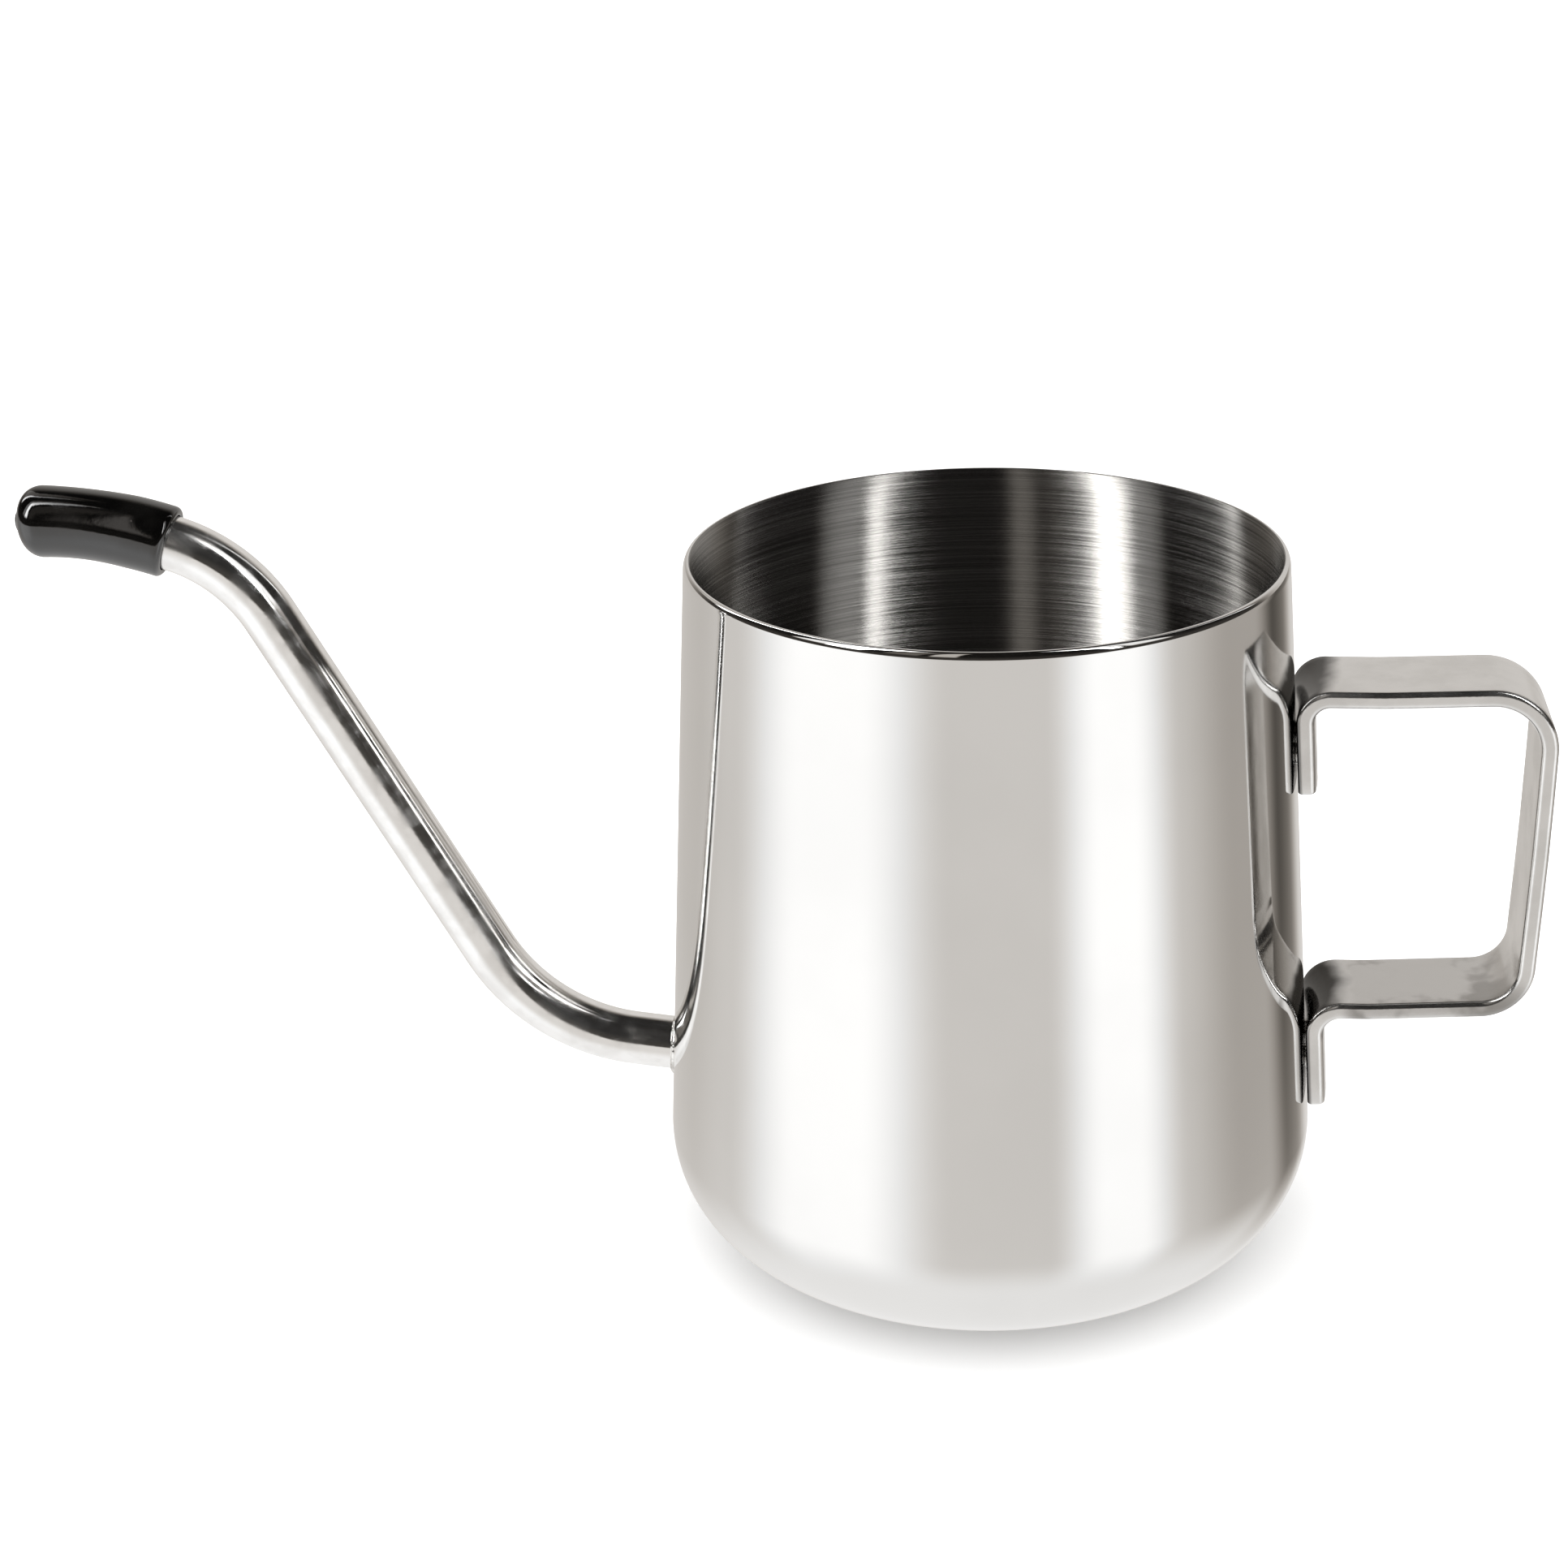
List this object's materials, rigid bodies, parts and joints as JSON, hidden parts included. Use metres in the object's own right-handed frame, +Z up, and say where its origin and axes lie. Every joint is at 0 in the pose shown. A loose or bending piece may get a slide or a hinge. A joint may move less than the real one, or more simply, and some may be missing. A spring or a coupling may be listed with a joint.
{
  "type": "gooseneck pitcher",
  "caption": "Small open steel pitcher with a tapered drawn body, a thin round gooseneck spout with a soft removable cap, and a bent flat strip handle.",
  "frame": {"origin": "centre of the flat base, on the surface that the pitcher stands on", "axes": "+Z up along the body's axis, +X towards the handle, -X towards the spout, +Y across the pitcher, square to both"},
  "size_m": [0.193, 0.0846, 0.0994],
  "materials": {
    "polished_shell": "mirror polished stainless steel outside, turned marks inside",
    "polished_tube": "polished stainless steel tube",
    "weld_metal": "dressed weld metal",
    "tumbled_strip": "satin faces and tumbled, polished edges",
    "soft_vinyl": "glossy black soft vinyl"
  },
  "bodies": {
    "pitcher": {"pitcher_body": "polished_shell", "spout_tube": "polished_tube", "spout_weld_bead": "weld_metal", "handle_strip": "tumbled_strip", "upper_tab_welds": "weld_metal", "lower_tab_welds": "weld_metal"},
    "cap": {"spout_cap": "soft_vinyl"}
  },
  "joints": [
    {"name": "cap_pull", "type": "hinge", "parent": "pitcher", "child": "cap", "pos_m": [-0.11879, 0, 0.04482], "axis": [0, -1, 0], "range_deg": [0, 30]}
  ]
}
